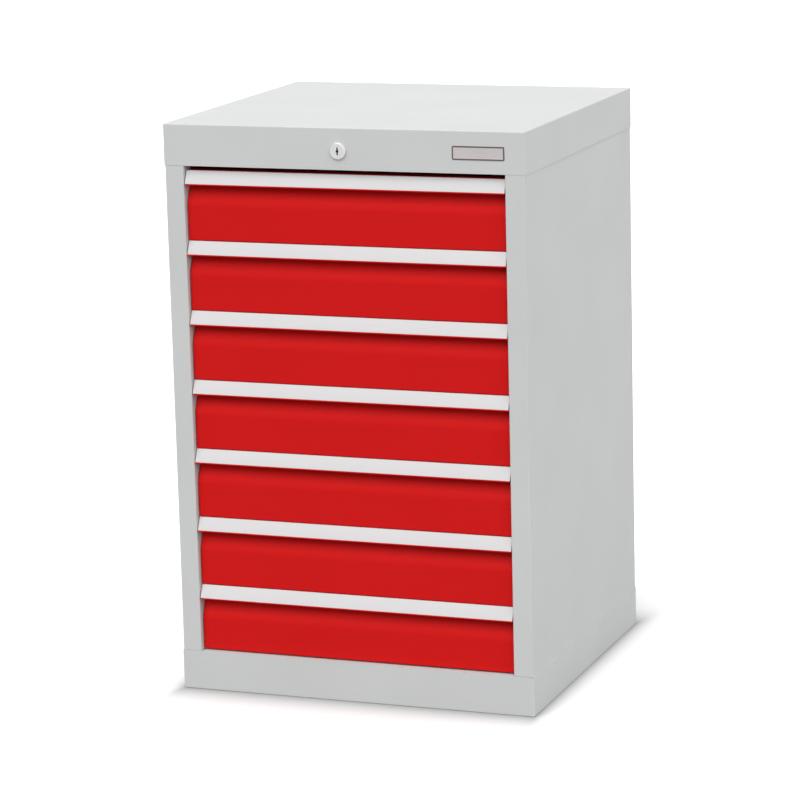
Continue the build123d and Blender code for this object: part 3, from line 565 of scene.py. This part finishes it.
def name_plate():
    """Bare plate: a profile of (inset, height) carried round a rounded rectangle, up the side,
    over a raised rim, down to the field and in to the middle."""
    low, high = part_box("badge_plate")
    width, height, proud = high.x - low.x, high.z - low.z, high.y - low.y
    full_rise = max(rise for inset, rise in PLATE_PROFILE)
    rings, rim = [], []
    for inset, rise in PLATE_PROFILE:
        ring = rounded_rectangle(width - 2 * inset * MM, height - 2 * inset * MM,
                                 max(PLATE_CORNER - inset, PLATE_INNER_CORNER) * MM)
        y = np.full(len(ring), high.y - proud * rise / full_rise)
        rings.append(np.stack([ring[:, 0], y, ring[:, 1]], 1))
        rim.append(np.full(len(ring), 1.0 if inset < PLATE_RIM_WIDTH else 0.0))
    around = len(rings[0])
    vertices = np.concatenate(rings) + np.array([(low.x + high.x) / 2, 0.0, (low.z + high.z) / 2])
    faces = loop_faces(len(rings), around).tolist()
    faces.append(list(range(around)))
    faces.append(list(range(around * (len(rings) - 1), around * len(rings)))[::-1])
    plate = piece("bare_name_plate", (vertices, faces), "root", FINISHES["plate_aluminium"],
                  ["badge_plate"], crease=50.0)
    attribute = plate.data.attributes.new("rim", "FLOAT", "POINT")
    attribute.data.foreach_set("value", np.concatenate(rim).astype(np.float32))


# ---------------------------------------------------------------- stage, light and camera
FLOOR_HALF = 30.0               # metres from the middle to each side
FLOOR_BOUNCE = 0.19             # colour that the floor shows to bounced light
FLOOR_SEEN = 0.97               # colour that the background shows
FLOOR_GLOW = 0.22               # of white, seen only: it lightens the cast shadow
SHADE_DEPTH = 0.62              # of the floor at the foot of the cabinet
SHADE_FADE = 0.058              # metres over which that shade falls to 1 / e
SHADE_NARROWING = (3.0, 1.0, 0.0)       # it fades this much faster beside the cabinet
AMBIENT = 0.662                 # levels are shares of white on a surface that faces the light
KEY = 0.61
FILL = 0.555


def background_rays(tree):
    """1 for the camera's, gloss and glass rays, which see the pale background, and otherwise 0."""
    paths = tree.nodes.new("ShaderNodeLightPath")
    level = paths.outputs["Is Camera Ray"]
    for kind in ("Is Glossy Ray", "Is Transmission Ray"):
        step = tree.nodes.new("ShaderNodeMath")
        step.operation = "MAXIMUM"
        tree.links.new(level, step.inputs[0])
        tree.links.new(paths.outputs[kind], step.inputs[1])
        level = step.outputs["Value"]
    return level


def contact_shade(finish):
    """Level of the floor as it is seen: s - d exp(-r / f), where r is the distance outside the
    cabinet's footprint, counted longer to the sides, s the open floor's level, d the shade's
    depth and f its fade."""
    low, high = cad_box
    centre = ((low[0] + high[0]) / 2, (low[1] + high[1]) / 2, 0.0)
    half = ((high[0] - low[0]) / 2, (high[1] - low[1]) / 2, 0.0)
    source = finish.place
    outside = (("SUBTRACT", centre), ("ABSOLUTE", None), ("SUBTRACT", half),
               ("MAXIMUM", (0.0, 0.0, 0.0)), ("MULTIPLY", SHADE_NARROWING), ("LENGTH", None))
    fading = (("DIVIDE", -SHADE_FADE), ("EXPONENT", None), ("MULTIPLY", -SHADE_DEPTH),
              ("ADD", FLOOR_SEEN))
    for kind, steps in (("ShaderNodeVectorMath", outside), ("ShaderNodeMath", fading)):
        for operation, value in steps:
            step = finish.node(kind, operation=operation)
            finish.link(source, step.inputs[0])
            if value is not None:
                step.inputs[1].default_value = value
            number = kind == "ShaderNodeMath" or operation == "LENGTH"
            source = step.outputs["Value" if number else "Vector"]
    return source


def studio_floor():
    """A wide pale floor. The camera, gloss and glass see it nearly white, with a soft shade round
    the cabinet and a slight glow. To bounced light it is darker, so the grips keep their shadow."""
    half = FLOOR_HALF
    mesh = bpy.data.meshes.new("studio_floor")
    mesh.from_pydata([(-half, -half, 0), (half, -half, 0), (half, half, 0), (-half, half, 0)], [],
                     [(0, 1, 2, 3)])
    floor = bpy.data.objects.new("studio_floor", mesh)
    bpy.context.scene.collection.objects.link(floor)
    finish = Finish("studio_floor")
    seen = background_rays(finish.tree)
    shade = contact_shade(finish)
    colour = finish.blended(seen, (FLOOR_BOUNCE,) * 3, shade)
    finish.link(colour, finish.shader.inputs["Base Color"])
    glow = finish.node("ShaderNodeMath", operation="MULTIPLY")
    finish.link(seen, glow.inputs[0])
    glow.inputs[1].default_value = FLOOR_GLOW
    finish.link(shade, finish.shader.inputs["Emission Color"])
    finish.link(glow.outputs["Value"], finish.shader.inputs["Emission Strength"])
    finish.put(Roughness=0.9, Specular_IOR_Level=0.0)
    mesh.materials.append(finish.material)


def studio_world():
    """White for the camera and for reflections, and a plain ambient level for the surfaces."""
    world = bpy.data.worlds.new("studio")
    world.use_nodes = True
    tree = world.node_tree
    background = tree.nodes["Background"]
    level = tree.nodes.new("ShaderNodeMapRange")
    level.inputs["To Min"].default_value = AMBIENT
    level.inputs["To Max"].default_value = 1.0
    tree.links.new(background_rays(tree), level.inputs["Value"])
    tree.links.new(level.outputs["Result"], background.inputs["Strength"])
    background.inputs["Color"].default_value = (1.0, 1.0, 1.0, 1.0)
    bpy.context.scene.world = world


def soft_lamp(name, towards, level, spread):
    """Sun lamp of a wide disc. Its level is the share of white that it adds to a surface that
    faces it, so its strength is pi times that."""
    lamp = bpy.data.lights.new(name, "SUN")
    lamp.energy = math.pi * level
    lamp.angle = math.radians(spread)
    holder = bpy.data.objects.new(name, lamp)
    holder.rotation_mode = "QUATERNION"
    holder.rotation_quaternion = Vector(towards).to_track_quat("Z", "Y")
    bpy.context.scene.collection.objects.link(holder)


def studio_lamps():
    soft_lamp("key_from_upper_left", (-0.20, -0.62, 0.74), KEY, 60.0)
    soft_lamp("fill_from_right", (0.92, -0.22, 0.32), FILL, 90.0)


AZIMUTH, ELEVATION, ROLL = 20.6068, 12.0016, -1.4459     # degrees
CAMERA_DISTANCE = 4.98964
CAMERA_SIDEWAYS, CAMERA_UPWARDS = -0.014522, -0.021933
CAMERA_LENS = 153.479                                    # on a 36 mm sensor
AIM = Vector((0.0, 0.00175, 0.4095))


def photo_camera():
    """The camera stands back from the aim by the distance, along the direction of its azimuth
    and elevation, is shifted in its own plane, and is turned about its line of sight."""
    a, e, r = (math.radians(angle) for angle in (AZIMUTH, ELEVATION, ROLL))
    back = Vector((math.sin(a) * math.cos(e), -math.cos(a) * math.cos(e), math.sin(e)))
    level = Vector((math.cos(a), math.sin(a), 0.0))
    upright = back.cross(level)
    right = math.cos(r) * level + math.sin(r) * upright
    up = -math.sin(r) * level + math.cos(r) * upright
    data = bpy.data.cameras.new("photo_camera")
    data.sensor_width = 36.0
    data.lens = CAMERA_LENS
    data.clip_start, data.clip_end = 0.1, 100.0
    camera = bpy.data.objects.new("photo_camera", data)
    turn = Matrix((right, up, back)).transposed()
    camera.rotation_mode = "QUATERNION"
    camera.rotation_quaternion = turn.to_quaternion()
    camera.location = AIM + back * CAMERA_DISTANCE + right * CAMERA_SIDEWAYS + up * CAMERA_UPWARDS
    bpy.context.scene.collection.objects.link(camera)
    bpy.context.scene.camera = camera


dress_nodes()
# the plug's keyway gets a painted shade behind its face
nodes["lock_plug"].data.materials[0] = lock_nickel(
    "lock_plug_nickel", NICKEL, shade_painted_behind=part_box("lock_plug")[0].y + 0.5 * MM)
for drawer in range(1, DRAWERS + 1):
    drawer_front(drawer)
    grip_strip(drawer)
lock_bezel()
name_plate()
studio_floor()
studio_world()
studio_lamps()
photo_camera()
bpy.context.scene.view_settings.view_transform = "Standard"
